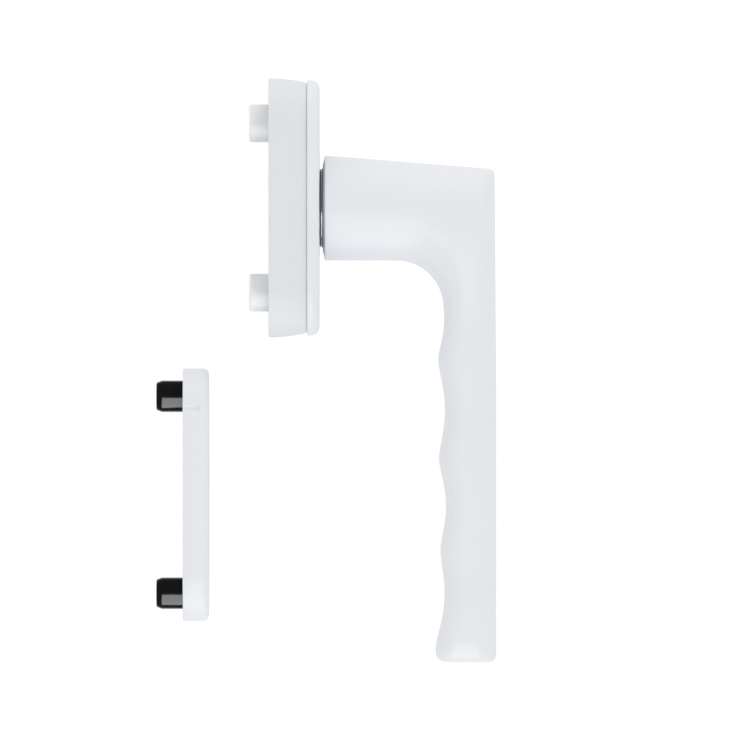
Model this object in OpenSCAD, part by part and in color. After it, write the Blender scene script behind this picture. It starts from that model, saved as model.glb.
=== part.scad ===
// Lever handle for a tilt-and-turn window, on a two-part rosette, with a loose keyhole escutcheon.
// X runs along the spindle, from the sash face into the room. Z is up and the closed lever hangs down.
// The origin is on the spindle axis, in the plane of the sash face.

/* [Lever] */
// Diameter of the round neck
neck_d = 26.7; // [22:0.1:32]
// Distance from the sash face to the lever's outer face
reach = 57.8; // [50:0.1:70]
// Distance from the spindle axis down to the lever's end
hang = 115.3; // [95:0.1:140]
// Slope of the neck's top line, in degrees
top_slope = 4.6; // [0:0.1:8]
// Lean of the outer face above the grip, in degrees
face_lean = 0.42; // [0:0.01:2]
// Height of the stretch of outer face that stays upright, from the lever's end
upright_h = 67.3; // [40:0.1:80]
// Radius of the inner bend, between neck and grip
bend_r = 12; // [8:0.1:14]
// Radius of the sharp outer corner
corner_r = 1.3; // [0.8:0.1:4]
// Width of the grip under the bend
grip_w = 21.5; // [18:0.1:25]
// Width of the grip at the lever's end
end_w = 19.5; // [16:0.1:24]
// Depth of a finger hollow between its two crests
hollow_depth = 1.6; // [0.5:0.1:3]
// Radius of the heel at the inner end of the grip
heel_r = 2.5; // [1:0.1:4]
// Radius of the outer end of the grip
toe_r = 1.8; // [1:0.1:4]
// Radius of the end's corners in the front view
end_r = 5; // [2:0.1:7]
// How far the grip's outer side is rounded, from its outer face inwards
back_round = 5.2; // [3:0.1:6]
// How far the grip's finger side is rounded, from its inner edge outwards
finger_round = 5; // [3:0.1:6]
// Depth of the recess in the neck's end that holds the sleeve's flange
flange_seat = 1.9; // [1:0.1:3]

/* [Rosette] */
// Height of the cover plate
plate_h = 64.8; // [62:0.1:76]
// Width of the cover plate
plate_w = 32; // [30:0.1:38]
// Corner radius of the cover plate's outline
plate_r = 12; // [8:0.1:14]
// Thickness of the cover plate
plate_t = 3.15; // [2.6:0.05:4]
// Radius of the cover plate's front edge
plate_edge_r = 2.3; // [1:0.1:2.5]
// Depth of the housing behind the cover plate
housing_t = 9.55; // [9:0.05:12]
// How much the housing's back stands out past the cover plate, each side
housing_flare = 0.43; // [0:0.01:1]
// How much the housing's front is drawn in from its back, each side
housing_draw = 1.1; // [0.5:0.05:2]
// Wall thickness of the housing
housing_wall = 2.2; // [1.6:0.1:3]
// Thickness of the housing's front wall
front_wall = 2.95; // [2:0.05:4]
// Gap between the cover plate and the neck's rim
neck_gap = 1.4; // [1:0.1:2.5]
// Thickness of the steel carrier plate
carrier_t = 1.6; // [1:0.1:2.5]

/* [Fixings] */
// Distance between the two fixing screws of the handle
screw_pitch = 43; // [40:0.1:45]
// Clearance hole for a fixing screw
screw_hole_d = 5.3; // [4.5:0.1:6.5]
// Diameter of the recess for a screw head
screw_head_d = 10.4; // [9:0.1:11]
// Depth of the recess for a screw head
screw_head_t = 3.6; // [2:0.1:4.5]
// Diameter of a support nib
nib_d = 9.6; // [8.6:0.1:10]
// How far a support nib stands out of the sash face
nib_l = 5; // [3:0.1:8]

/* [Bearing and index] */
// Width of the square spindle hole
spindle_w = 7.1; // [6.1:0.1:8.1]
// Diameter of the drive sleeve in its bearing
sleeve_d = 15; // [14:0.1:16]
// Distance from the sash face to the sleeve's inner end
sleeve_end = 32; // [26:0.1:36]
// Diameter of the sleeve's domed flange
flange_d = 20.4; // [19:0.1:21]
// Radius of the dome on the flange and on the neck's rim
dome_r = 55; // [40:1:80]
// Outer diameter of the bearing collar
collar_d = 20.4; // [20:0.1:22]
// Wall of the plastic bearing bush
bush_wall = 1; // [0.8:0.1:1.2]
// Width of the index cam across its flats
cam_w = 16.4; // [15:0.1:17]
// Corner radius of the index cam
cam_r = 2; // [1:0.1:4]
// Thickness of the index cam
cam_t = 2.8; // [2:0.1:3]
// Step from the sleeve's bearing down to its tail, which carries the cam
tail_step = 0.9; // [0.6:0.1:1.2]
// Depth of the tail's two flats
tail_flat = 0.7; // [0.4:0.1:1]
// Thickness of the retaining ring
clip_t = 0.8; // [0.6:0.1:1]
// Thickness of a detent leaf spring
leaf_t = 0.8; // [0.5:0.1:1]
// Length of a detent leaf spring
leaf_l = 27; // [24:0.1:28]

/* [Escutcheon] */
// Height of the escutcheon
esc_h = 64.1; // [60:0.1:76]
// Width of the escutcheon
esc_w = 31; // [28:0.1:36]
// Thickness of the escutcheon
esc_t = 6.5; // [6:0.1:10]
// Corner radius of the escutcheon's outline
esc_r = 12; // [6:0.1:13.5]
// Radius of the escutcheon's front edge
esc_edge_r = 1.5; // [0.8:0.1:2.5]
// Wall thickness of the escutcheon cover
esc_wall = 1.8; // [1.2:0.1:2.2]
// Distance between the escutcheon's two nibs
esc_pitch = 50; // [46:0.1:54]
// Diameter of an escutcheon nib
esc_nib_d = 8; // [7:0.1:9]
// Length of an escutcheon nib
esc_nib_l = 6.8; // [3:0.1:9]
// Screw hole through an escutcheon nib
esc_hole_d = 4.3; // [3.3:0.1:5.3]
// Thickness of the escutcheon base's web
esc_web = 2.6; // [2:0.1:4]
// Diameter of the round part of the keyhole
key_d = 17.5; // [17:0.1:18]
// Width of the keyhole's slot
key_slot_w = 10.4; // [10:0.1:11]
// Height of the whole keyhole
key_h = 33.4; // [32:0.1:34]
// Length of the pry notch in the escutcheon's side
notch_l = 4.3; // [3:0.1:5]
// Depth of the pry notch
notch_depth = 0.5; // [0.3:0.1:0.9]
// How far above the escutcheon's middle the pry notch lies
notch_z = 22.1; // [0:0.1:26]
// Where the loose escutcheon's centre lies below the spindle axis
esc_drop = 72.8; // [70:0.1:90]
// Where the loose escutcheon's back lies behind the sash face
esc_back = 21.7; // [15:0.1:40]

/* [Clearances] */
// Radial clearance of a turning or sliding fit
running_gap = 0.05; // [0.02:0.01:0.1]
// Clearance between pieces that are fixed to each other
seat_gap = 0.05; // [0.02:0.01:0.1]
// Gap between faces that pass each other
face_gap = 0.3; // [0.2:0.05:0.4]
// Gap between the housing and the cover plate
seam_gap = 0.2; // [0.1:0.05:0.4]

/* [Hidden] */
$fn = 64;
past = 0.5; // how far a cutter runs past the face it cuts

// Places along the spindle axis
cover_back = housing_t + seam_gap;
cover_front = cover_back + plate_t;
neck_x = cover_front + neck_gap;
cavity_end = housing_t - front_wall;
cam_back = carrier_t + face_gap;
cam_front = cam_back + cam_t;
collar_back = cam_front + face_gap;
collar_front = cover_front - face_gap;
flange_back = neck_x + flange_seat;
tail_end = face_gap;
clip_x = cam_back - clip_t - 0.1;

// The neck's rim and the sleeve's flange share one dome
dome_x = neck_x - pow(neck_d / 2, 2) / (2 * dome_r);
function dome_at(r) = dome_x + dome_r - sqrt(dome_r * dome_r - r * r);

// Radii about the spindle axis
sleeve_r = sleeve_d / 2;
bush_r = sleeve_r + running_gap + bush_wall;
collar_bore_r = bush_r + seat_gap;
collar_r = collar_d / 2;
collar_lip = 1.8;
ring_wall = 1.3;
ring_r = collar_r + running_gap + ring_wall;
ring_lip = 1.45;
ring_lip_t = 0.9;
tail_r = sleeve_r - tail_step;
tail_w = 2 * (tail_r - tail_flat);
groove_depth = 0.6;
groove_r = tail_r - groove_depth;
clip_r = groove_r + 1.5;

// The housing's back outline follows the cover plate
back_w = plate_w + 2 * housing_flare;
back_h = plate_h + 2 * housing_flare;
back_r = plate_r + housing_flare;

// Screw bosses, nibs and springs
boss_r = screw_hole_d / 2 + 3.35;
esc_boss_r = esc_h / 2 - esc_wall - esc_pitch / 2 - face_gap;
nib_r = nib_d / 2;
nib_relief = 0.3;
nib_flange_t = 1.2;
nib_chamfer = 0.6;
esc_nib_chamfer = 0.9;
notch_r = 0.9;
leaf_y = cam_w / 2 + running_gap;
hook_l = 2.4;

// ---------- outlines ----------

// Rounded rectangle made of exact arcs
module plate_2d(w, h, r) {
    square([w - 2 * r, h], center = true);
    square([w, h - 2 * r], center = true);
    for (sx = [-1, 1], sy = [-1, 1])
        translate([sx * (w / 2 - r), sy * (h / 2 - r)]) circle(r);
}

// Stands an outline drawn in Y and Z upright, and thickens it from x to x + t
module slab(x, t) {
    translate([x, 0, 0]) rotate([90, 0, 90]) linear_extrude(t) children();
}

// A round bar, bore or washer along the spindle axis
module rod(x, t, r, y = 0, z = 0) {
    translate([x, y, z]) rotate([0, 90, 0]) cylinder(h = t, r = r);
}

module tube(x, t, r_out, r_in, y = 0, z = 0) {
    difference() {
        rod(x, t, r_out, y, z);
        rod(x - past, t + 2 * past, r_in, y, z);
    }
}

// A round peg with its free end, at x, chamfered
module chamfered_peg(x, t, r, chamfer) {
    translate([x, 0, 0]) rotate([0, 90, 0]) cylinder(h = chamfer, r1 = r - chamfer, r2 = r);
    rod(x + chamfer, t - chamfer, r);
}

// Closed skin over a list of rings that all have the same number of points
module skin(rings) {
    n = len(rings[0]);
    last = len(rings) - 1;
    sides = [for (k = [0:last - 1], i = [0:n - 1])
        let (j = (i + 1) % n)
        each [[k * n + i, k * n + j, (k + 1) * n + j], [k * n + i, (k + 1) * n + j, (k + 1) * n + i]]];
    polyhedron(points = [for (ring = rings) each ring],
        faces = concat([[for (i = [n - 1:-1:0]) i]], sides, [[for (i = [0:n - 1]) last * n + i]]));
}

// Carries a profile round a rounded rectangle. The profile's first axis points outwards from the
// outline, and its second runs along the spindle axis.
module rim(w, h, r) {
    rotate([90, 0, 90]) for (k = [0:3]) {
        side = k % 2 == 0 ? h : w;
        across = k % 2 == 0 ? w : h;
        rotate([0, 0, 90 * k]) {
            translate([across / 2, 0, 0]) rotate([90, 0, 0])
                linear_extrude(side - 2 * r, center = true) children();
            translate([across / 2 - r, side / 2 - r, 0])
                rotate_extrude(angle = 90) translate([r, 0]) children();
        }
    }
}

// Profile of a wall: t high, wall thick, with its outer front edge rounded by edge_r
module rounded_edge_2d(t, wall, edge_r) {
    translate([-wall, 0]) square([wall, t - edge_r]);
    translate([-wall, 0]) square([wall - edge_r, t]);
    translate([-edge_r, t - edge_r]) intersection() {
        circle(edge_r);
        square(edge_r);
    }
}

// ---------- rosette ----------

// Profile of the housing's wall. Its side is bowed: it is drawn in more and more towards the front.
module housing_wall_2d() {
    bow = [for (i = [0:6]) [-housing_draw * pow(i / 6, 2.2), housing_t * i / 6]];
    polygon(concat([[-housing_wall, 0]], bow, [[-housing_wall, housing_t]]));
}

module rosette_base() {
    wall_x = 2 * housing_wall;
    nib_seat = carrier_t + nib_flange_t;
    color("white") difference() {
        union() {
            rim(back_w, back_h, back_r) housing_wall_2d();
            slab(cavity_end, front_wall)
                plate_2d(back_w - wall_x, back_h - wall_x, back_r - housing_wall);
            for (s = [-1, 1])
                rod(nib_seat, cavity_end - nib_seat + past, boss_r, z = s * screw_pitch / 2);
            spring_posts();
        }
        rod(cavity_end - past, front_wall + 2 * past, collar_r + seat_gap);
        rod(cam_front, cavity_end - cam_front, collar_r + collar_lip + seat_gap);
        for (s = [-1, 1]) {
            rod(-past, housing_t + 2 * past, screw_hole_d / 2, z = s * screw_pitch / 2);
            rod(housing_t - screw_head_t, screw_head_t + past, screw_head_d / 2, z = s * screw_pitch / 2);
        }
    }
}

// Four posts behind the ends of the leaf springs, which also carry the carrier plate
module spring_posts() {
    post_w = hook_l - leaf_t;
    post_h = 3;
    post_y = leaf_y + leaf_t + seat_gap;
    for (sy = [0, 1], sz = [0, 1]) mirror([0, sy, 0]) mirror([0, 0, sz])
        translate([carrier_t, post_y, leaf_l / 2 - post_h])
            cube([cavity_end - carrier_t + past, post_w, post_h]);
}

module carrier_plate() {
    inset = housing_wall + 2 * seat_gap;
    sleeve_gap = 0.7;
    color("silver") difference() {
        slab(0, carrier_t) plate_2d(back_w - 2 * inset, back_h - 2 * inset, back_r - inset);
        rod(-past, carrier_t + 2 * past, clip_r + sleeve_gap);
        for (s = [-1, 1])
            rod(-past, carrier_t + 2 * past, nib_r + seat_gap, z = s * screw_pitch / 2);
    }
}

module support_nib(side) {
    color("gainsboro") translate([0, 0, side * screw_pitch / 2]) difference() {
        union() {
            chamfered_peg(-nib_l, nib_l, nib_r, nib_chamfer);
            rod(0, carrier_t, nib_r - nib_relief);
            rod(carrier_t, nib_flange_t, boss_r);
        }
        rod(-nib_l - past, nib_l + carrier_t + nib_flange_t + 2 * past, screw_hole_d / 2);
    }
}

module support_nib_upper() {
    support_nib(1);
}

module support_nib_lower() {
    support_nib(-1);
}

module bearing_collar() {
    color("darkgray") difference() {
        union() {
            rod(collar_back, cavity_end - collar_back, collar_r + collar_lip);
            rod(collar_back, collar_front - collar_back, collar_r);
        }
        rod(collar_back - past, collar_front - collar_back + 2 * past, collar_bore_r);
    }
}

module bearing_bush() {
    color("ivory") tube(collar_back, collar_front - collar_back, bush_r, sleeve_r + running_gap);
}

module thrust_washer() {
    washer_t = dome_at(sleeve_r) - collar_front - face_gap;
    washer_step = 0.6;
    color("dimgray") tube(collar_front, washer_t, collar_r - washer_step, sleeve_r + 2 * running_gap);
}

// Leaf spring with its ends turned outwards, hooked behind its two posts
module detent_spring(side) {
    spring_gap = 0.2;
    spring_w = cam_t - 2 * spring_gap;
    color("lightsteelblue") mirror([0, side, 0]) translate([cam_back + spring_gap, leaf_y, 0]) {
        translate([0, 0, -leaf_l / 2]) cube([spring_w, leaf_t, leaf_l]);
        for (sz = [0, 1]) mirror([0, 0, sz]) translate([0, 0, leaf_l / 2])
            cube([spring_w, hook_l, leaf_t]);
    }
}

module detent_spring_left() {
    detent_spring(1);
}

module detent_spring_right() {
    detent_spring(0);
}

// ---------- turning pieces ----------

// Outline of the sleeve's tail: a circle with two flats
module tail_2d(clear = 0) {
    intersection() {
        circle(tail_r + clear);
        square([tail_w + 2 * clear, 4 * tail_r], center = true);
    }
}

module index_cam() {
    color("slategray") slab(cam_back, cam_t) difference() {
        plate_2d(cam_w, cam_w, cam_r);
        tail_2d(seat_gap);
    }
}

module retaining_ring() {
    opening = 50;
    ring_in = groove_r + seat_gap;
    color("lightgray") translate([clip_x, 0, 0]) rotate([0, 90, 0]) rotate([0, 0, 180 + opening / 2])
        rotate_extrude(angle = 360 - opening) translate([ring_in, 0]) square([clip_r - ring_in, clip_t]);
}

// Slot for the spindle clip, along the upper side of the square hole
clip_slot_l = 12;
clip_slot_w = 4;
clip_slot_depth = 0.9;

module drive_sleeve() {
    color("silver") difference() {
        union() {
            slab(tail_end, cam_front - tail_end) tail_2d();
            rod(cam_front, sleeve_end - cam_front, sleeve_r);
            intersection() {
                rod(dome_x, flange_back - dome_x, flange_d / 2);
                translate([dome_x + dome_r, 0, 0]) sphere(dome_r);
            }
        }
        tube(clip_x - seat_gap, clip_t + 2 * seat_gap, sleeve_r, groove_r);
        translate([0, -spindle_w / 2, -spindle_w / 2]) cube([sleeve_end + past, spindle_w, spindle_w]);
        translate([sleeve_end - clip_slot_l, -clip_slot_w / 2, 0])
            cube([clip_slot_l + past, clip_slot_w, spindle_w / 2 + clip_slot_depth]);
    }
}

// Bowed leaf that grips the spindle: a short arc of thin strip, lying in the sleeve's slot
module spindle_clip() {
    leaf = 0.4;
    bow = 0.35;
    span = clip_slot_l - 2;
    leaf_w = clip_slot_w - 0.6;
    bow_r = (span * span / 4 + bow * bow) / (2 * bow);
    color("lightsteelblue") translate([sleeve_end - clip_slot_l / 2, leaf_w / 2, spindle_w / 2 + leaf])
        rotate([90, 0, 0]) linear_extrude(leaf_w) intersection() {
            translate([0, bow_r - bow]) difference() {
                circle(bow_r, $fn = 128);
                circle(bow_r - leaf, $fn = 128);
            }
            translate([-span / 2, -bow]) square([span, bow + leaf]);
        }
}

// ---------- lever ----------

// The side view is an outline between an inner and an outer skin. Everywhere inside it, the lever's
// half width falls off towards the outline on its own curve for each edge.

// Crests of the finger grip: height above the lever's end, and grip thickness there
crests = [[3.6, 15.4], [28.5, 14.2], [51.6, 14.6], [76.8, 14.7], [98, 14.7]];

under_z = -neck_d / 2;
bend_z = under_z - bend_r;
function outer_x(z) = reach - tan(face_lean) * max(0, z + hang - upright_h);
function top_z(x) = neck_d / 2 - tan(top_slope) * (x - neck_x);

// A hollow between two crests, broad in the middle and quickly rounded at the crests
crest_soft = 0.3;
function hollow(t) = (norm([sin(180 * t), crest_soft]) - crest_soft) / (norm([1, crest_soft]) - crest_soft);
function grip_t(up, k = 0) =
    up <= crests[0][0] ? crests[0][1]
    : k + 1 >= len(crests) ? crests[k][1]
    : up > crests[k + 1][0] ? grip_t(up, k + 1)
    : let (t = (up - crests[k][0]) / (crests[k + 1][0] - crests[k][0]))
      crests[k][1] + (crests[k + 1][1] - crests[k][1]) * t - hollow_depth * hollow(t);
function inner_x(z) = outer_x(z) - grip_t(z + hang);
bend_x = inner_x(bend_z) - bend_r;

// Distance from the bend's centre to the outer skin, at angle a above the horizontal
function to_top(a) = (top_z(bend_x) - bend_z) / max(0.001, sin(a) + tan(top_slope) * cos(a));
function to_face(a) = (outer_x(bend_z) - bend_x) / max(0.001, cos(a) + tan(face_lean) * sin(a));
corner_a = atan2(top_z(outer_x(neck_d / 2)) - bend_z, outer_x(neck_d / 2) - bend_x);
corner_power = ln(2) * to_face(corner_a) / (corner_r * (sqrt(2) - 1));
function to_skin(a) =
    let (low = min(to_top(a), to_face(a)), high = max(to_top(a), to_face(a)))
    low * pow(1 + pow(low / high, corner_power), -1 / corner_power);

// How far a corner of radius r is cut back at distance d from the end
function cut_back(r, d) = d >= r ? 0 : r - sqrt(r * r - (r - d) * (r - d));

// Elliptical fall-off, from 1 at depth r under an edge to 0 at the edge
function fall_off(depth, r) = depth >= r ? 1 : sqrt(1 - pow(1 - max(0, depth) / r, 2));
function ease(t) = let (u = min(1, max(0, t))) u * u * (3 - 2 * u);

// Half width before the edges are rounded: the neck's own, then narrowing down the grip
shoulder_h = 31;
function half_width(x, z) =
    let (down = ease((-z - 3) / shoulder_h),
         along = (-z - shoulder_h) / (hang - shoulder_h),
         grip = grip_w / 2 + (end_w - grip_w) / 2 * min(1, max(0, along)),
         leave_neck = ease((x - neck_x - 3) / (bend_x - neck_x + 3)))
    neck_d / 2 + (grip - neck_d / 2) * down * leave_neck;

// A section from an inner to an outer point, both [x, z]. depth_r is how far the inner edge is rounded.
half_sides = 14;
function section(inner, outer, depth_r, end_d = end_r) =
    let (span = outer - inner,
         steps = [for (i = [0:half_sides]) (1 - cos(180 * i / half_sides)) / 2],
         skin_y = [for (f = steps)
            let (p = inner + f * span, top_r = (top_z(p[0]) - under_z) / 2)
            half_width(p[0], p[1]) * fall_off(f * norm(span), depth_r)
                * fall_off(top_z(p[0]) - p[1], top_r) * fall_off(outer_x(p[1]) - p[0], back_round)
                * (1 - 2 * cut_back(end_r, end_d) / end_w)])
    [for (i = [0:2 * half_sides - 1])
        let (k = i <= half_sides ? i : 2 * half_sides - i, side = i <= half_sides ? 1 : -1,
             open = k > 0 && k < half_sides ? 1 : 0, p = inner + steps[k] * span)
        [p[0], open * side * skin_y[k], p[1]]];

// Rings along the lever: rim, neck, bend, grip and end
rim_rings = [for (r = [flange_d / 2 + face_gap, neck_d / 2 - 0.9, neck_d / 2 - 0.25])
    [for (i = [0:2 * half_sides - 1])
        let (a = 180 * i / half_sides)
        [dome_at(r), r * sin(a), -r * cos(a)]]];
neck_rings = [for (f = [0.03, 0.25, 0.5, 0.75, 1])
    let (x = neck_x + (bend_x - neck_x) * f)
    section([x, under_z], [x, top_z(x)], (top_z(x) - under_z) / 2)];
bend_angles = concat(
    [for (i = [1:6]) 90 - (90 - corner_a - 3) * i / 6],
    [for (d = [2, 1.2, 0.5, -0.5, -1.2, -2]) corner_a + d],
    [for (i = [0:7]) (corner_a - 3) * (1 - i / 7)]);
neck_end_r = (top_z(bend_x) - under_z) / 2;
bend_rings = [for (a = bend_angles)
    let (dir = [cos(a), sin(a)], centre = [bend_x, bend_z])
    section(centre + bend_r * dir, centre + to_skin(a) * dir,
        neck_end_r + (finger_round - neck_end_r) * ease(1 - a / 90))];
grip_steps = 34;
grip_rings = [for (i = [1:grip_steps])
    let (z = bend_z + (end_r - hang - bend_z) * i / grip_steps)
    section([inner_x(z), z], [outer_x(z), z], finger_round)];
end_rings = [for (f = [0.66, 0.42, 0.24, 0.12, 0.04, 0])
    let (d = end_r * f, z = d - hang)
    section([inner_x(z) + cut_back(heel_r, d), z], [outer_x(z) - cut_back(toe_r, d), z], finger_round, d)];

module handle_lever() {
    color("white") difference() {
        skin(concat(rim_rings, neck_rings, bend_rings, grip_rings, end_rings));
        rod(dome_x, flange_back - dome_x, flange_d / 2 + seat_gap);
        rod(dome_x, sleeve_end + face_gap - dome_x, sleeve_r + seat_gap);
    }
}

// ---------- cover ----------

module cover_guide_ring() {
    color("whitesmoke") difference() {
        union() {
            rod(cover_back, ring_lip_t, ring_r + ring_lip);
            rod(cover_back, plate_t - seam_gap, ring_r);
        }
        rod(cover_back - past, plate_t + 2 * past, collar_r + running_gap);
    }
}

module cover_plate() {
    edge_wall = plate_edge_r + 1;
    lip_gap = 2 * running_gap;
    color("white") difference() {
        union() {
            translate([cover_back, 0, 0]) rim(plate_w, plate_h, plate_r)
                rounded_edge_2d(plate_t, edge_wall, plate_edge_r);
            slab(cover_back, plate_t)
                plate_2d(plate_w - 2 * edge_wall, plate_h - 2 * edge_wall, plate_r - edge_wall);
        }
        rod(cover_back - past, plate_t + 2 * past, ring_r + running_gap);
        rod(cover_back - past, ring_lip_t + lip_gap + past, ring_r + ring_lip + lip_gap);
    }
}

// ---------- loose escutcheon ----------

// Keyhole for a profile cylinder: a round part above a slot with a round foot
key_z = key_h / 2 - key_d / 2 - esc_drop;
key_foot_z = key_slot_w / 2 - key_h / 2 - esc_drop;
module keyhole(x, t, clear = 0) {
    slot_r = key_slot_w / 2 + clear;
    rod(x, t, key_d / 2 + clear, z = key_z);
    rod(x, t, slot_r, z = key_foot_z);
    translate([x, -slot_r, key_foot_z]) cube([t, 2 * slot_r, key_z - key_foot_z]);
}

module escutcheon_base() {
    inset = esc_wall + 2 * seat_gap;
    body_t = esc_t - esc_wall - face_gap;
    key_clear = 0.5;
    head_depth = 2.2;
    head_wall = 1;
    color([0.1, 0.1, 0.11]) difference() {
        union() {
            translate([0, 0, -esc_drop]) slab(-esc_back, esc_web)
                plate_2d(esc_w - 2 * inset, esc_h - 2 * inset, esc_r - inset);
            for (s = [-1, 1]) translate([0, 0, s * esc_pitch / 2 - esc_drop]) {
                rod(-esc_back, body_t, esc_boss_r);
                chamfered_peg(-esc_back - esc_nib_l, esc_nib_l, esc_nib_d / 2, esc_nib_chamfer);
            }
        }
        keyhole(-esc_back - past, esc_t, key_clear);
        for (s = [-1, 1]) translate([0, 0, s * esc_pitch / 2 - esc_drop]) {
            rod(-esc_back - esc_nib_l - past, esc_nib_l + esc_t, esc_hole_d / 2);
            rod(body_t - esc_back - head_depth, esc_t, esc_boss_r - head_wall);
        }
    }
}

// Cutter for a small groove in one side, where a screwdriver lifts the cover off. It starts at the
// cover's back and follows the corner's curve inwards, so that its depth stays the same.
module pry_notch() {
    up_corner = max(0, notch_z - (esc_h / 2 - esc_r));
    side_y = esc_w / 2 - esc_r + sqrt(esc_r * esc_r - up_corner * up_corner);
    rod(-esc_back - past, notch_l + past, notch_r,
        y = notch_depth - notch_r - side_y, z = notch_z - esc_drop);
}

module escutcheon_cover() {
    front_x = esc_t - esc_wall - esc_back;
    color("white") difference() {
        union() {
            translate([-esc_back, 0, -esc_drop]) rim(esc_w, esc_h, esc_r)
                rounded_edge_2d(esc_t, esc_wall, esc_edge_r);
            translate([0, 0, -esc_drop]) slab(front_x, esc_wall)
                plate_2d(esc_w - 2 * esc_wall, esc_h - 2 * esc_wall, esc_r - esc_wall);
        }
        keyhole(front_x - past, esc_wall + 2 * past);
        pry_notch();
    }
}

rosette_base();
carrier_plate();
support_nib_upper();
support_nib_lower();
bearing_collar();
bearing_bush();
thrust_washer();
detent_spring_left();
detent_spring_right();
index_cam();
retaining_ring();
drive_sleeve();
spindle_clip();
handle_lever();
cover_guide_ring();
cover_plate();
escutcheon_base();
escutcheon_cover();
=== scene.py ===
"""Window handle on its rosette, with the loose escutcheon beside it, in soft studio light."""

import math

import bmesh
import bpy
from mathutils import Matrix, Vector


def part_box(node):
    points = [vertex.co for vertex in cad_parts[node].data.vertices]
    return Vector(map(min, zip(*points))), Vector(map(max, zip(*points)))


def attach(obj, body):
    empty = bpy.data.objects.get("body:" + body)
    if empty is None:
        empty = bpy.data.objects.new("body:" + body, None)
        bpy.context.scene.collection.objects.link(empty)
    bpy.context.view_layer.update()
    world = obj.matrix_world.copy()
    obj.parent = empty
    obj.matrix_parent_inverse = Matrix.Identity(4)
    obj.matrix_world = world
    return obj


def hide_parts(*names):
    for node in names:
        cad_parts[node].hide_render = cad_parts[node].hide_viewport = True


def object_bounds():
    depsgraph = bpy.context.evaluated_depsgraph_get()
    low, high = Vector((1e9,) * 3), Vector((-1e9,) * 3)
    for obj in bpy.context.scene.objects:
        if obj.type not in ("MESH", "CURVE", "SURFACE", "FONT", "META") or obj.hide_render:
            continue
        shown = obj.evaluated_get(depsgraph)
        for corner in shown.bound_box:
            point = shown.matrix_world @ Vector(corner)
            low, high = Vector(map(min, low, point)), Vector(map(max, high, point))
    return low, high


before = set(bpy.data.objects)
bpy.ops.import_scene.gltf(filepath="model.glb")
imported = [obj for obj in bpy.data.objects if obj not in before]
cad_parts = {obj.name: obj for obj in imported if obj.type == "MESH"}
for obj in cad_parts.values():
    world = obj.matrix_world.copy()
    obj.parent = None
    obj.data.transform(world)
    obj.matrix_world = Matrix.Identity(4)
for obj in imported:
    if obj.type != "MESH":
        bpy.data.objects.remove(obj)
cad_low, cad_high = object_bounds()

MM = 0.001

# ---------- finishes ----------


class Amount:
    """A number that varies over a surface. Sums on it become Math nodes."""

    def __init__(self, finish, socket):
        self.finish, self.socket = finish, socket

    def sum(self, operation, first, second=0.0):
        inputs = {0: first, 1: second}
        return self.finish.node("ShaderNodeMath", {"operation": operation}, inputs)["Value"]

    def __add__(self, other):
        return self.sum("ADD", self, other)

    def __radd__(self, other):
        return self.sum("ADD", other, self)

    def __sub__(self, other):
        return self.sum("SUBTRACT", self, other)

    def __rsub__(self, other):
        return self.sum("SUBTRACT", other, self)

    def __mul__(self, other):
        return self.sum("MULTIPLY", self, other)

    def __rmul__(self, other):
        return self.sum("MULTIPLY", other, self)

    def __pow__(self, other):
        return self.sum("POWER", self, other)

    def sine(self):
        return self.sum("SINE", self)


class Finish:
    """A surface finish, painted in the object's own coordinates."""

    def __init__(self, name, **constants):
        self.material = bpy.data.materials.new(name)
        self.material.use_nodes = True
        self.tree = self.material.node_tree
        self.shader = self.tree.nodes["Principled BSDF"]
        self.place = self.node("ShaderNodeTexCoord")["Object"]
        for socket, value in constants.items():
            self.set(socket.replace("_", " "), value)

    def node(self, kind, settings=None, inputs=None):
        """Adds a node and returns its outputs by name."""
        node = self.tree.nodes.new(kind)
        for key, value in (settings or {}).items():
            if key == "stops":
                stops = node.color_ramp.elements
                while len(stops) < len(value):
                    stops.new(0.5)
                for stop, (at, colour) in zip(stops, value):
                    stop.position, stop.color = at, colour
            else:
                setattr(node, key, value)
        for key, value in (inputs or {}).items():
            self.fill(node.inputs[key], value)
        return {out.name: Amount(self, out) for out in node.outputs if out.enabled}

    def fill(self, socket, value):
        if isinstance(value, Amount):
            self.tree.links.new(value.socket, socket)
        else:
            socket.default_value = value

    def set(self, socket, value):
        self.fill(self.shader.inputs[socket], value)

    def noise(self, per_metre, detail=2.0, roughness=0.5):
        inputs = {"Scale": per_metre, "Detail": detail, "Roughness": roughness}
        return self.node("ShaderNodeTexNoise", None, {"Vector": self.place, **inputs})["Fac"]

    def parts(self):
        """The place on the piece as X, Y and Z."""
        split = self.node("ShaderNodeSeparateXYZ", None, {0: self.place})
        return split["X"], split["Y"], split["Z"]

    def between(self, amount, first, second):
        """A colour between two, by an amount from 0 to 1."""
        ramp = {"stops": [(0.0, (*first, 1)), (1.0, (*second, 1))]}
        return self.node("ShaderNodeValToRGB", ramp, {0: amount})["Color"]

    def relief(self, height, depth_mm, strength=1.0):
        inputs = {"Height": height, "Distance": depth_mm * MM, "Strength": strength}
        self.set("Normal", self.node("ShaderNodeBump", None, inputs)["Normal"])


def lacquer(name, light, shade, gloss):
    """Powder coat: a shallow orange peel, with faint flow in its tone."""
    coat = Finish(name, IOR=1.5, Specular_IOR_Level=0.12)
    flow = coat.noise(70, 2)
    peel = coat.noise(950, 1.5)
    grain = coat.noise(6500, 1)
    coat.set("Base Color", coat.between(flow * 0.8 + grain * 0.2, shade, light))
    coat.set("Roughness", gloss + (flow - 0.5) * 0.08 + (grain - 0.5) * 0.05)
    coat.relief(peel * 0.85 + grain * 0.15, 0.02)
    return coat.material


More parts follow.
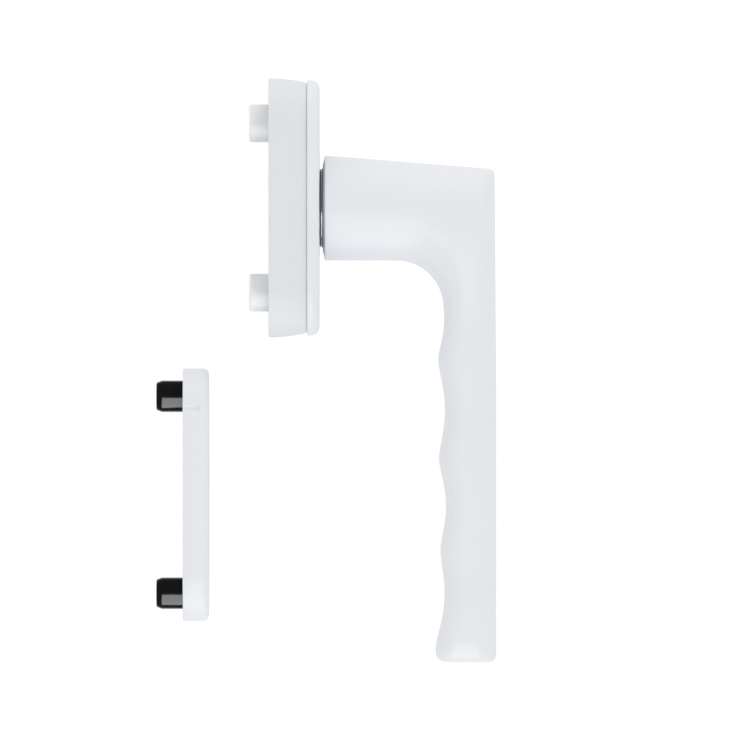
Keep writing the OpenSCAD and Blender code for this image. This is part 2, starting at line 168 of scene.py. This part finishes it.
def moulded(name, light, shade, gloss, grain_mm, **constants):
    """Moulded plastic: a fine eroded grain and broad, faint flow marks."""
    plastic = Finish(name, **constants)
    flow = plastic.noise(110, 3)
    grain = plastic.noise(4200, 3, 0.65)
    plastic.set("Base Color", plastic.between(flow * 0.7 + grain * 0.3, shade, light))
    plastic.set("Roughness", gloss + (grain - 0.5) * 0.25 * gloss + (flow - 0.5) * 0.15 * gloss)
    plastic.relief(grain, grain_mm)
    return plastic.material


def turned(name, light, shade, gloss, line_mm, depth_mm):
    """Metal turned on the spindle axis: rings of tool marks, and streaks in its polish."""
    metal = Finish(name, Metallic=0.8)
    x, y, z = metal.parts()
    radius = (y * y + z * z) ** 0.5
    per_metre = 2 * math.pi / (line_mm * MM)
    rings = (radius * per_metre + x * per_metre).sine() * 0.5 + 0.5
    patches = metal.noise(260, 4, 0.6)
    metal.set("Base Color", metal.between(patches, shade, light))
    metal.set("Roughness", gloss + (patches - 0.5) * 0.16 + rings * 0.05)
    metal.relief(rings * 0.6 + patches * 0.4, depth_mm)
    return metal.material


def plated(name, light, shade, gloss, crystal_mm):
    """Plated or rolled metal: small crystals and a slightly cloudy sheen."""
    metal = Finish(name, Metallic=0.7)
    cloud = metal.noise(180, 4, 0.6)
    inputs = {"Vector": metal.place, "Scale": 1 / (crystal_mm * MM)}
    facets = metal.node("ShaderNodeTexVoronoi", None, inputs)["Distance"]
    metal.set("Base Color", metal.between(cloud * 0.75 + facets * 0.25, shade, light))
    metal.set("Roughness", gloss + (cloud - 0.5) * 0.2 + facets * 0.06)
    metal.relief(facets * 0.5 + cloud * 0.5, 0.012)
    return metal.material


# Each finish: its light tone, its darker tone, its roughness, and the size of its grain in mm
white_coat = lacquer("white powder coat", (0.815, 0.832, 0.86), (0.79, 0.808, 0.838), 0.33)
white_plastic = moulded(
    "white moulded plastic", (0.767, 0.782, 0.807), (0.737, 0.754, 0.782), 0.42, 0.01,
    IOR=1.49, Specular_IOR_Level=0.12,
)
nylon = moulded(
    "natural nylon", (0.94, 0.955, 0.965), (0.88, 0.90, 0.915), 0.45, 0.015,
    IOR=1.53, Subsurface_Weight=0.15, Subsurface_Scale=0.002,
)
black_plastic = moulded(
    "black plastic", (0.005, 0.0055, 0.0065), (0.003, 0.0035, 0.004), 0.17, 0.003,
    IOR=1.55,
)
nickel = turned("satin nickel plate", (0.50, 0.51, 0.54), (0.40, 0.41, 0.44), 0.17, 0.12, 0.001)
zinc_casting = plated("cast zinc", (0.50, 0.51, 0.53), (0.36, 0.37, 0.39), 0.42, 0.5)
zinc_steel = plated("zinc-plated steel", (0.66, 0.68, 0.72), (0.50, 0.52, 0.57), 0.30, 0.35)
spring_steel = plated("spring steel", (0.45, 0.47, 0.52), (0.33, 0.34, 0.38), 0.24, 0.2)

# ---------- ways of making ----------


def put_down():
    """Leaves edit mode and drops whatever is selected."""
    if bpy.context.object and bpy.context.object.mode != "OBJECT":
        bpy.ops.object.mode_set(mode="OBJECT")
    bpy.ops.object.select_all(action="DESELECT")


def take(piece, mode="OBJECT"):
    put_down()
    piece.select_set(True)
    bpy.context.view_layer.objects.active = piece
    bpy.ops.object.mode_set(mode=mode)


def apply(piece, modifier):
    take(piece)
    bpy.ops.object.modifier_apply(modifier=modifier.name)


def select_ring(piece, number):
    shape = bmesh.from_edit_mesh(piece.data)
    ring = shape.verts.layers.int["ring"]
    for v in shape.verts:
        v.select = v[ring] == number
    shape.select_flush_mode()
    for e in shape.edges:
        e.select = all(v[ring] == number for v in e.verts)
    bmesh.update_edit_mesh(piece.data)


def draw_out(name, rings, closed=False):
    """Draws a circle out ring by ring. Each ring is a list of places in mm.

    A closed piece meets its first ring again. Any other has a flat face at each end.
    """
    put_down()
    bpy.ops.mesh.primitive_circle_add(vertices=len(rings[0]), radius=MM)
    piece = bpy.context.object
    piece.name = piece.data.name = name
    bpy.ops.object.mode_set(mode="EDIT")
    shape = bmesh.from_edit_mesh(piece.data)
    shape.verts.layers.int.new("spot")
    shape.verts.layers.int.new("ring")
    spot, ring = shape.verts.layers.int["spot"], shape.verts.layers.int["ring"]
    for i, v in enumerate(shape.verts):
        v[spot], v[ring], v.co = i, 0, Vector(rings[0][i]) * MM
    bmesh.update_edit_mesh(piece.data)
    for number, places in enumerate(rings[1:], 1):
        bpy.ops.mesh.extrude_edges_move()
        shape = bmesh.from_edit_mesh(piece.data)
        spot, ring = shape.verts.layers.int["spot"], shape.verts.layers.int["ring"]
        for v in shape.verts:
            if v.select:
                v[ring], v.co = number, Vector(places[v[spot]]) * MM
        bmesh.update_edit_mesh(piece.data)
    bpy.ops.mesh.select_mode(type="EDGE")
    if closed:
        shape = bmesh.from_edit_mesh(piece.data)
        for e in shape.edges:
            e.select = e.is_boundary
        bmesh.update_edit_mesh(piece.data)
        bpy.ops.mesh.bridge_edge_loops()
    else:
        for number in (0, len(rings) - 1):
            select_ring(piece, number)
            bpy.ops.mesh.edge_face_add()
    bpy.ops.mesh.select_mode(type="VERT")
    bpy.ops.mesh.select_all(action="SELECT")
    bpy.ops.mesh.normals_make_consistent(inside=False)
    put_down()
    return piece


def circle(x, radius, y=0.0, z=0.0, points=96):
    turn = [2 * math.pi * i / points for i in range(points)]
    return [(x, y + radius * math.sin(a), z - radius * math.cos(a)) for a in turn]


def bar(x0, x1, radius, y=0.0, z=0.0, points=96, name="bar"):
    return draw_out(name, [circle(x0, radius, y, z, points), circle(x1, radius, y, z, points)])


def lathe(name, profile, y=0.0, z=0.0, points=96):
    """Turns a closed profile of (x, radius) about the spindle's direction."""
    return draw_out(name, [circle(x, r, y, z, points) for x, r in profile], closed=True)


def outline(x, width, height, corner, z=0.0, inset=0.0, arc=20):
    """A rounded rectangle in the plane at x, drawn in by inset all round."""
    half_w, half_h, radius = width / 2 - corner, height / 2 - corner, corner - inset
    places = []
    for k, (sy, sz) in enumerate([(1, 1), (-1, 1), (-1, -1), (1, -1)]):
        for i in range(arc + 1):
            a = math.pi / 2 * (k + i / arc)
            y_here = sy * half_w + radius * math.cos(a)
            z_here = z + sz * half_h + radius * math.sin(a)
            places.append((x, y_here, z_here))
    return places


def plate(name, steps, width, height, corner, z=0.0, arc=20):
    """Draws a rounded rectangle out through steps of (x, inset)."""
    return draw_out(name, [outline(x, width, height, corner, z, inset, arc) for x, inset in steps])


def block(low, high):
    put_down()
    size = [b - a for a, b in zip(low, high)]
    centre = [(a + b) / 2 * MM for a, b in zip(low, high)]
    bpy.ops.mesh.primitive_cube_add(size=MM, location=centre, scale=size)
    bpy.ops.object.transform_apply(location=True, rotation=True, scale=True)
    return bpy.context.object


def joined(piece, tools, operation):
    for tool in tools:
        work = piece.modifiers.new("join", "BOOLEAN")
        work.operation, work.solver, work.object = operation, "EXACT", tool
        apply(piece, work)
        bpy.data.objects.remove(tool)
    return piece


def cut(piece, *tools):
    return joined(piece, tools, "DIFFERENCE")


def add(piece, *tools):
    return joined(piece, tools, "UNION")


def break_edges(piece, width_mm, segments=3, over=35):
    """A small round on every edge sharper than an angle."""
    edge = piece.modifiers.new("edges", "BEVEL")
    edge.width, edge.segments = width_mm * MM, segments
    edge.limit_method, edge.angle_limit = "ANGLE", math.radians(over)
    edge.harden_normals = False
    apply(piece, edge)
    return piece


def finish_piece(piece, body, node, material, smooth=32):
    """Clears specks that the joins left, then smooths, paints and places the piece."""
    speck = 0.001 * MM
    take(piece, "EDIT")
    bpy.ops.mesh.select_all(action="SELECT")
    bpy.ops.mesh.remove_doubles(threshold=speck)
    bpy.ops.mesh.dissolve_degenerate(threshold=speck)
    take(piece)
    bpy.ops.object.shade_smooth_by_angle(angle=math.radians(smooth))
    piece.data.materials.clear()
    piece.data.materials.append(material)
    put_down()
    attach(piece, body)
    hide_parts(node)
    return piece


def rounded(x, radius, start, end, steps=8):
    """Steps of (x, inset) round an edge that ends at x."""
    turn = [math.radians(start + (end - start) * i / steps) for i in range(steps + 1)]
    return [(x - radius * (1 - math.sin(a)), radius * (1 - math.cos(a))) for a in turn]


def span_mm(node):
    low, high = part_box(node)
    return [v / MM for v in low], [v / MM for v in high]


# ---------- lever ----------

# Sizes in mm. The spindle's axis is X, and X = 0 is the sash face.
neck_d, reach, hang = 26.7, 57.8, 115.3
top_slope, face_lean, upright_h = math.radians(4.6), math.radians(0.42), 67.3
bend_r, corner_r = 12.0, 1.3
grip_w, end_w, hollow_depth = 21.5, 19.5, 1.6
heel_r, toe_r, end_r = 2.5, 1.8, 5.0
back_round, finger_round = 5.2, 5.0
flange_d, dome_r = 20.4, 55.0
neck_x = 14.3
flange_x, sleeve_end = neck_x + 1.9, 32.0
sleeve_r, sleeve_clear = 7.5, 0.05
dome_x = neck_x - (neck_d / 2) ** 2 / (2 * dome_r)
# The grip's crests: height above the lever's end, and thickness there
crests = [(3.6, 15.4), (28.5, 14.2), (51.6, 14.6), (76.8, 14.7), (98.0, 14.7)]
under_z = -neck_d / 2
bend_z = under_z - bend_r
shoulder_h = 31.0
half_sides = 24  # spans of a ring from its inner to its outer place


def dome_at(r):
    """X of the neck's shallow domed end at a radius."""
    return dome_x + dome_r - math.sqrt(dome_r**2 - r**2)


def ease(t):
    u = min(1.0, max(0.0, t))
    return u * u * (3 - 2 * u)


def outer_x(z):
    """The lever's front face: upright low down, leaning back above."""
    return reach - math.tan(face_lean) * max(0.0, z + hang - upright_h)


def top_z(x):
    return neck_d / 2 - math.tan(top_slope) * (x - neck_x)


def grip_t(up):
    """Thickness of the grip at a height above the lever's end: hollows between crests."""
    if up <= crests[0][0]:
        return crests[0][1]
    for (low, first), (high, second) in zip(crests, crests[1:]):
        if up <= high:
            t = (up - low) / (high - low)
            soft = 0.3  # rounds the crests
            deepest = math.hypot(1, soft) - soft
            hollow = (math.hypot(math.sin(math.pi * t), soft) - soft) / deepest
            return first + (second - first) * t - hollow_depth * hollow
    return crests[-1][1]


def inner_x(z):
    return outer_x(z) - grip_t(z + hang)


def cut_back(r, d):
    """How far a round of radius r draws its face in, at a depth d under its edge."""
    return 0.0 if d >= r else r - math.sqrt(r * r - (r - d) ** 2)


def fall_off(depth, r):
    """Share of the full width at a depth under an edge of radius r."""
    return 1.0 if depth >= r else math.sqrt(max(0.0, 1 - (1 - max(0.0, depth) / r) ** 2))


bend_x = inner_x(bend_z) - bend_r


def half_width(x, z):
    """Half the lever's width, from the round neck to the tapering grip."""
    down = ease((-z - 3) / shoulder_h)
    along = min(1.0, max(0.0, (-z - shoulder_h) / (hang - shoulder_h)))
    grip = grip_w / 2 + (end_w - grip_w) / 2 * along
    leave_neck = ease((x - neck_x - 3) / (bend_x - neck_x + 3))
    return neck_d / 2 + (grip - neck_d / 2) * down * leave_neck


def to_top(a):
    """Distance from the bend's centre to the top line, in a direction."""
    return (top_z(bend_x) - bend_z) / max(0.001, math.sin(a) + math.tan(top_slope) * math.cos(a))


def to_face(a):
    """Distance from the bend's centre to the front face, in a direction."""
    return (outer_x(bend_z) - bend_x) / max(0.001, math.cos(a) + math.tan(face_lean) * math.sin(a))


corner_a = math.atan2(top_z(outer_x(neck_d / 2)) - bend_z, outer_x(neck_d / 2) - bend_x)
corner_power = math.log(2) * to_face(corner_a) / (corner_r * (math.sqrt(2) - 1))


def to_skin(a):
    """The nearer of the two, with the corner between them rounded."""
    low, high = sorted((to_top(a), to_face(a)))
    return low * (1 + (low / high) ** corner_power) ** (-1 / corner_power)


def section(inner, outer, depth_r, end_d=end_r):
    """A ring from an inner to an outer place, both (x, z)."""
    run, rise = outer[0] - inner[0], outer[1] - inner[1]
    span = math.hypot(run, rise)
    ring = []
    for i in range(2 * half_sides):
        k = i if i <= half_sides else 2 * half_sides - i
        f = (1 - math.cos(math.pi * k / half_sides)) / 2
        x, z = inner[0] + f * run, inner[1] + f * rise
        y = half_width(x, z) * fall_off(f * span, depth_r)
        y *= fall_off(top_z(x) - z, (top_z(x) - under_z) / 2)
        y *= fall_off(outer_x(z) - x, back_round)
        y *= 1 - 2 * cut_back(end_r, end_d) / end_w
        side = 1 if i <= half_sides else -1
        ring.append((x, side * y if 0 < k < half_sides else 0.0, z))
    return ring


def lever_rings():
    """The lever's skin: the seat in its neck, the neck, the bend, the grip and the rounded end."""
    neck_end_r = (top_z(bend_x) - under_z) / 2
    seat = flange_d / 2 + 0.2
    ends = [(flange_x, seat)]
    ends += [(dome_at(r), r) for r in (seat, seat + 0.3, 12.0, 12.7, 13.05)]
    ends += [(dome_at(r) + lift, r) for r, lift in ((13.23, 0.03), (13.32, 0.12))]
    rings = [circle(x, r, points=2 * half_sides) for x, r in ends]
    for f in (0.012, 0.03, 0.1, 0.25, 0.4, 0.55, 0.7, 0.85, 1.0):
        x = neck_x + (bend_x - neck_x) * f
        rings.append(section((x, under_z), (x, top_z(x)), (top_z(x) - under_z) / 2))
    near = math.radians(3)
    angles = [math.pi / 2 - (math.pi / 2 - corner_a - near) * i / 10 for i in range(1, 11)]
    at_corner = (2.4, 1.8, 1.2, 0.6, 0, -0.6, -1.2, -1.8, -2.4)
    angles += [corner_a + math.radians(d) for d in at_corner]
    angles += [(corner_a - near) * (1 - i / 14) for i in range(15)]
    for a in angles:
        ca, sa = math.cos(a), math.sin(a)
        depth = neck_end_r + (finger_round - neck_end_r) * ease(1 - a / (math.pi / 2))
        near_place = (bend_x + bend_r * ca, bend_z + bend_r * sa)
        far_place = (bend_x + to_skin(a) * ca, bend_z + to_skin(a) * sa)
        rings.append(section(near_place, far_place, depth))
    steps = 64
    for i in range(1, steps + 1):
        z = bend_z + (end_r - hang - bend_z) * i / steps
        rings.append(section((inner_x(z), z), (outer_x(z), z), finger_round))
    for f in (0.85, 0.7, 0.55, 0.42, 0.3, 0.2, 0.12, 0.06, 0.02, 0):
        d = end_r * f
        z = d - hang
        heel = (inner_x(z) + cut_back(heel_r, d), z)
        toe = (outer_x(z) - cut_back(toe_r, d), z)
        rings.append(section(heel, toe, finger_round, d))
    return rings


lever = draw_out("lever", lever_rings())
smooth = lever.modifiers.new("smooth", "SUBSURF")
smooth.levels = smooth.render_levels = 1
apply(lever, smooth)
cut(lever, bar(neck_x - 3, sleeve_end + 0.3, sleeve_r + sleeve_clear))
finish_piece(lever, "handle", "handle_lever", white_coat, smooth=50)

# ---------- rosette ----------

plate_w, plate_h, plate_r, edge_r = 32.0, 64.8, 12.0, 2.3
(base_x0, _, _), (base_x1, base_y1, base_z1) = span_mm("rosette_base")
(cover_x0, _, _), (cover_x1, _, _) = span_mm("cover_plate")
screw_z = 21.5
both_screws = (-screw_z, screw_z)
screw_r, nib_r, nib_foot_r, carrier_t = 2.65, 4.8, 6.0, 1.6
back_x, front_x = -1, 11  # behind and in front of the rosette, for tools that cut right through

# Housing: its sides bow inwards towards the front, and a low land stands up inside the seam
back_w, back_h, back_r = 2 * base_y1, 2 * base_z1, plate_r + 0.43
wall, bow_depth, collar_r = 2.2, 1.1, 10.25
post_r, post_x0, pocket_x1 = 6.0, 2.8, 6.6
head_r, head_depth = 5.2, 3.6
bow = [(base_x1 * i / 24, bow_depth * (i / 24) ** 2.2) for i in range(1, 24)]
steps = [(base_x0, 0.25), (base_x0 + 0.08, 0.08), (base_x0 + 0.25, 0.0), *bow]
steps += [(base_x1 - 0.02, bow_depth), (base_x1, 1.13)]
steps += [(base_x1 + 0.01, 1.3), (base_x1 + 0.17, 1.34)]
housing = plate("housing", steps, back_w, back_h, back_r)
cut(housing, plate("pocket", [(back_x, wall), (pocket_x1, wall)], back_w, back_h, back_r))
for z in both_screws:
    add(housing, bar(post_x0, 7.0, post_r, z=z))
cut(housing, bar(5, front_x, collar_r))
for z in both_screws:
    head = bar(base_x1 - head_depth, front_x, head_r, z=z)
    cut(housing, bar(back_x, front_x, screw_r, z=z), head)
finish_piece(housing, "rosette", "rosette_base", white_plastic, smooth=40)

# Carrier plate
carrier = plate("carrier", [(0, 0), (carrier_t, 0)], back_w - 4.6, back_h - 4.6, back_r - 2.3)
cut(carrier, bar(-1, 3, 8.2), *(bar(-1, 3, nib_r + 0.05, z=z) for z in both_screws))
break_edges(carrier, 0.2)
finish_piece(carrier, "rosette", "carrier_plate", zinc_steel)

# Cover plate
steps = [(cover_x0, 0.45), (cover_x0 + 0.1, 0.2), (cover_x0 + 0.25, 0.06), (cover_x0 + 0.45, 0.0)]
steps += rounded(cover_x1, edge_r, 0, 90, 14)
cover = plate("cover", steps, plate_w, plate_h, plate_r)
cut(cover, bar(cover_x0 - 1, cover_x1 + 1, 11.6), bar(cover_x0 - 1, cover_x0 + 1.0, 13.1))
finish_piece(cover, "cover", "cover_plate", white_coat, smooth=40)


def nib(name, x0, x1, radius, round_r, bore, z, flange=None):
    """A round nib with its free end, at x0, rounded over, and a bore for the screw."""
    edge, flange_t, end = 0.35, 1.2, x1
    profile = [(x0, bore + edge)]
    for i in range(7):
        a = math.radians(90 * i / 6)
        profile.append((x0 + round_r * (1 - math.cos(a)), radius - round_r * (1 - math.sin(a))))
    profile.append((x1, radius))
    if flange is not None:
        end = x1 + flange_t
        profile += [(x1, flange), (end, flange)]
    return lathe(name, [*profile, (end, bore), (x0 + edge, bore)], z=z)


for side, z in (("upper", screw_z), ("lower", -screw_z)):
    node = "support_nib_" + side
    (x0, _, _), _ = span_mm(node)
    peg = nib("nib_" + side, x0, carrier_t, nib_r, 0.7, screw_r, z, flange=nib_foot_r)
    finish_piece(peg, "rosette", node, nylon, smooth=40)

# ---------- drive sleeve ----------

flange_r, shoulder_r, tail_r, groove_r, core_r = 10.2, 9.9, 6.6, 6.0, 2.0
tail_x0, tail_x1, groove_x0, groove_x1 = 0.3, 4.7, 0.95, 1.85
shoulder_x0, shoulder_x1, edge = 12.97, 13.56, 0.3
profile = [(tail_x0, core_r), (tail_x0, tail_r - edge), (tail_x0 + edge, tail_r)]
profile += [(groove_x0, tail_r), (groove_x0, groove_r), (groove_x1, groove_r), (groove_x1, tail_r)]
profile += [(tail_x1, tail_r), (tail_x1, sleeve_r - 0.2), (tail_x1 + 0.2, sleeve_r)]
# The shoulder that shows behind the neck, with a rounded edge
profile += [(shoulder_x0, sleeve_r), (shoulder_x0, shoulder_r - 0.5)]
profile += [(13.0, 9.6), (13.06, 9.77), (13.12, 9.86), (13.2, shoulder_r)]
profile += [(shoulder_x1, shoulder_r), (13.6, 10.07), (dome_at(flange_r) + 0.2, flange_r)]
profile += [(flange_x, flange_r), (flange_x, sleeve_r), (sleeve_end - edge, sleeve_r)]
profile += [(sleeve_end, sleeve_r - edge), (sleeve_end, core_r)]
sleeve = lathe("sleeve", profile, points=128)
# The square hole for the spindle, the clip's slot, and the tail's two flats
square, slot_x0, through = 3.55, 20, 33
hole = block((-1, -square, -square), (through, square, square))
cut(sleeve, hole, block((slot_x0, -2, 0), (through, 2, 4.45)))
for side in (-1, 1):
    near_y, far_y = sorted((side * 5.9, side * 8))
    cut(sleeve, block((-1, near_y, -9), (tail_x1, far_y, 9)))
finish_piece(sleeve, "handle", "drive_sleeve", nickel, smooth=40)

# ---------- loose escutcheon ----------

esc_w, esc_h, esc_r, esc_edge_r, esc_wall = 31.0, 64.1, 12.0, 1.5, 1.8
esc_screw_z = 25
(esc_x0, _, esc_z0), (esc_x1, _, esc_z1) = span_mm("escutcheon_cover")
esc_z = (esc_z0 + esc_z1) / 2
key_r, slot_r, key_h = 8.75, 5.2, 33.4
key_z, foot_z = key_h / 2 - key_r + esc_z, slot_r - key_h / 2 + esc_z


def keyhole(x0, x1, clear=0.0):
    """A bar with the outline of a profile cylinder."""
    r, s = key_r + clear, slot_r + clear
    low = math.asin(s / r)
    places = []
    for i in range(49):
        a = -math.pi / 2 + low + (2 * math.pi - 2 * low) * i / 48
        places.append((r * math.cos(a), key_z + r * math.sin(a)))
    for i in range(25):
        a = math.pi + math.pi * i / 24
        places.append((s * math.cos(a), foot_z + s * math.sin(a)))
    return draw_out("keyhole", [[(x, y, z) for y, z in places] for x in (x0, x1)])


# Cap: a thin shell, with a small notch in its side to pull it off by
steps = [(esc_x0, 0.35), (esc_x0 + 0.1, 0.1), (esc_x0 + 0.35, 0.0)]
steps += rounded(esc_x1, esc_edge_r, 0, 90, 12)
shell = plate("escutcheon", steps, esc_w, esc_h, esc_r, esc_z)
steps = [(esc_x0 - 1, esc_wall), (esc_x1 - esc_wall, esc_wall)]
cut(shell, plate("pocket", steps, esc_w, esc_h, esc_r, esc_z))
cut(shell, keyhole(esc_x0 - 1, esc_x1 + 1))
notch_l, notch_depth, notch_r, notch_up = 4.3, 0.5, 0.9, 22.1
side_y = esc_w / 2 - esc_r + math.sqrt(esc_r**2 - (notch_up - esc_h / 2 + esc_r) ** 2)
notch_y, notch_z = notch_depth - notch_r - side_y, esc_z + notch_up
cut(shell, bar(esc_x0 - 1, esc_x0 + notch_l, notch_r, notch_y, notch_z))
finish_piece(shell, "escutcheon_cap", "escutcheon_cover", white_coat, smooth=40)

# Base: a plate inside the cap, with two screw bosses and two tapered nibs behind them
inset, edge, floor_t, body_t = esc_wall + 0.1, 0.2, 2.6, 4.4
steps = [(esc_x0, inset + edge), (esc_x0 + edge, inset)]
steps += [(esc_x0 + floor_t - edge, inset), (esc_x0 + floor_t, inset + edge)]
core = plate("escutcheon_core", steps, esc_w, esc_h, esc_r, esc_z)
boss_r = esc_h / 2 - esc_wall - esc_screw_z - 0.3
pin_l, pin_r, esc_screw_r, recess_x0 = 6.8, 4.0, 2.15, 2.2
taper = [(0, 3.2), (0.08, 3.42), (0.25, 3.56), (1.3, 3.96), (1.5, pin_r), (pin_l + 1, pin_r)]
for z in (esc_z - esc_screw_z, esc_z + esc_screw_z):
    add(core, bar(esc_x0 + 1, esc_x0 + body_t, boss_r, z=z))
    add(core, draw_out("tip", [circle(esc_x0 - pin_l + x, r, z=z) for x, r in taper]))
cut(core, keyhole(esc_x0 - 1, esc_x0 + 6, 0.5))
for z in (esc_z - esc_screw_z, esc_z + esc_screw_z):
    recess = bar(esc_x0 + recess_x0, esc_x0 + 6, boss_r - 1, z=z)
    cut(core, bar(esc_x0 - 8, esc_x0 + 6, esc_screw_r, z=z), recess)
finish_piece(core, "escutcheon", "escutcheon_base", black_plastic, smooth=40)

# ---------- pieces that keep their CAD shape ----------

kept = {
    "bearing_collar": zinc_casting,
    "bearing_bush": nylon,
    "thrust_washer": black_plastic,
    "detent_spring_left": spring_steel,
    "detent_spring_right": spring_steel,
    "index_cam": zinc_casting,
    "retaining_ring": spring_steel,
    "spindle_clip": spring_steel,
    "cover_guide_ring": white_plastic,
}
for node, material in kept.items():
    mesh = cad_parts[node].data
    mesh.materials.clear()
    mesh.materials.append(material)

# ---------- room, light and camera ----------


def glow(name, low, high, amount=None):
    """A surface that gives its own even light, or one that rises from low to high by an amount."""
    lit = Finish(name, Roughness=1.0, Base_Color=(0, 0, 0, 1), Emission_Strength=high)
    lit.set("Specular IOR Level", 0.0)
    colour = (1, 1, 1, 1)
    if amount:
        colour = lit.between(amount(*lit.parts()), (low / high,) * 3, (1, 1, 1))
    lit.set("Emission Color", colour)
    return lit.material


def in_room(thing, seen=True, lights_object=False, in_gloss=False):
    """Part of the room, which casts no shadow. It is seen, lights or shows in gloss as asked."""
    thing.visible_transmission = thing.visible_shadow = False
    thing.visible_camera = seen
    thing.visible_diffuse = lights_object
    thing.visible_glossy = in_gloss


def ball(name, radius, material):
    put_down()
    bpy.ops.mesh.primitive_uv_sphere_add(segments=48, ring_count=24, radius=radius)
    bpy.context.object.name = name
    bpy.context.object.data.materials.append(material)
    return bpy.context.object


def disc(name, radius, place, material, upright=False):
    put_down()
    bpy.ops.mesh.primitive_circle_add(
        vertices=96, radius=radius, fill_type="NGON", location=place,
        rotation=(math.pi / 2 if upright else 0.0, 0.0, 0.0),
    )
    bpy.context.object.name = name
    bpy.context.object.data.materials.append(material)
    return bpy.context.object


# Sizes in metres. The object sees three shells: a backdrop for the eye, a dome that lights it,
# and a sweep that only its gloss mirrors.
room_r, dome_r_m = 12.0, 11.0
steepest, sideways, least = 0.894, 0.06, 0.0085
backdrop_glow, sweep_glow, dome_low, dome_high = 1.02, 0.75, 0.87, 1.34


def dome_light(x, y, z):
    """The same all round, more from above and below, and a little more from the right."""
    return z * z * (steepest / dome_r_m**2) + x * (sideways / dome_r_m) + least


pale = glow("pale backdrop", backdrop_glow, backdrop_glow)
in_room(disc("floor", room_r - 0.5, (0, 0, cad_low.z - 0.012), pale))
in_room(ball("backdrop", room_r, pale))
dome = ball("dome", dome_r_m, glow("dome light", dome_low, dome_high, dome_light))
in_room(dome, seen=False, lights_object=True)
sweep_paint = glow("pale sweep", sweep_glow, sweep_glow)
sweep = disc("sweep", room_r / 2, (0, room_r / 2, 0), sweep_paint, upright=True)
in_room(sweep, seen=False, in_gloss=True)

aim = Vector((0.027, 0.0, -0.0424))  # the middle of what is shown


def softbox(name, x, elevation, distance, width, height, radiance):
    """An even area light on the camera's side, at a place across and an angle above the object."""
    lamp = bpy.data.lights.new(name, "AREA")
    lamp.shape, lamp.size, lamp.size_y = "RECTANGLE", width, height
    lamp.energy, lamp.color = radiance * math.pi * width * height, (0.96, 0.975, 1.0)
    e = math.radians(elevation)
    way = Vector((0, -math.cos(e), math.sin(e)))
    light = bpy.data.objects.new(name, lamp)
    light.location = aim + way * distance + Vector((x, 0, 0))
    light.rotation_euler = way.to_track_quat("Z", "Y").to_euler()
    light.visible_camera = light.visible_diffuse = False
    bpy.context.scene.collection.objects.link(light)


softbox("low strip", -0.04, -54, 0.9, 0.65, 1.55, 4.5)

world = bpy.data.worlds.new("studio")
bpy.context.scene.world = world
world.use_nodes = True
sky = world.node_tree.nodes["Background"]
sky.inputs["Color"].default_value = (1, 1, 1, 1)
sky.inputs["Strength"].default_value = 0.1

# A long lens, level and square to the side, so that the outlines show almost without perspective
view_w = 0.19045
lens = bpy.data.cameras.new("camera")
lens.lens, lens.sensor_width = 900, 36
camera = bpy.data.objects.new("camera", lens)
camera.location = aim - Vector((0, view_w * lens.lens / lens.sensor_width, 0))
camera.rotation_euler = (math.pi / 2, 0, 0)
bpy.context.scene.collection.objects.link(camera)
bpy.context.scene.camera = camera
bpy.context.scene.view_settings.view_transform = "Standard"

put_down()
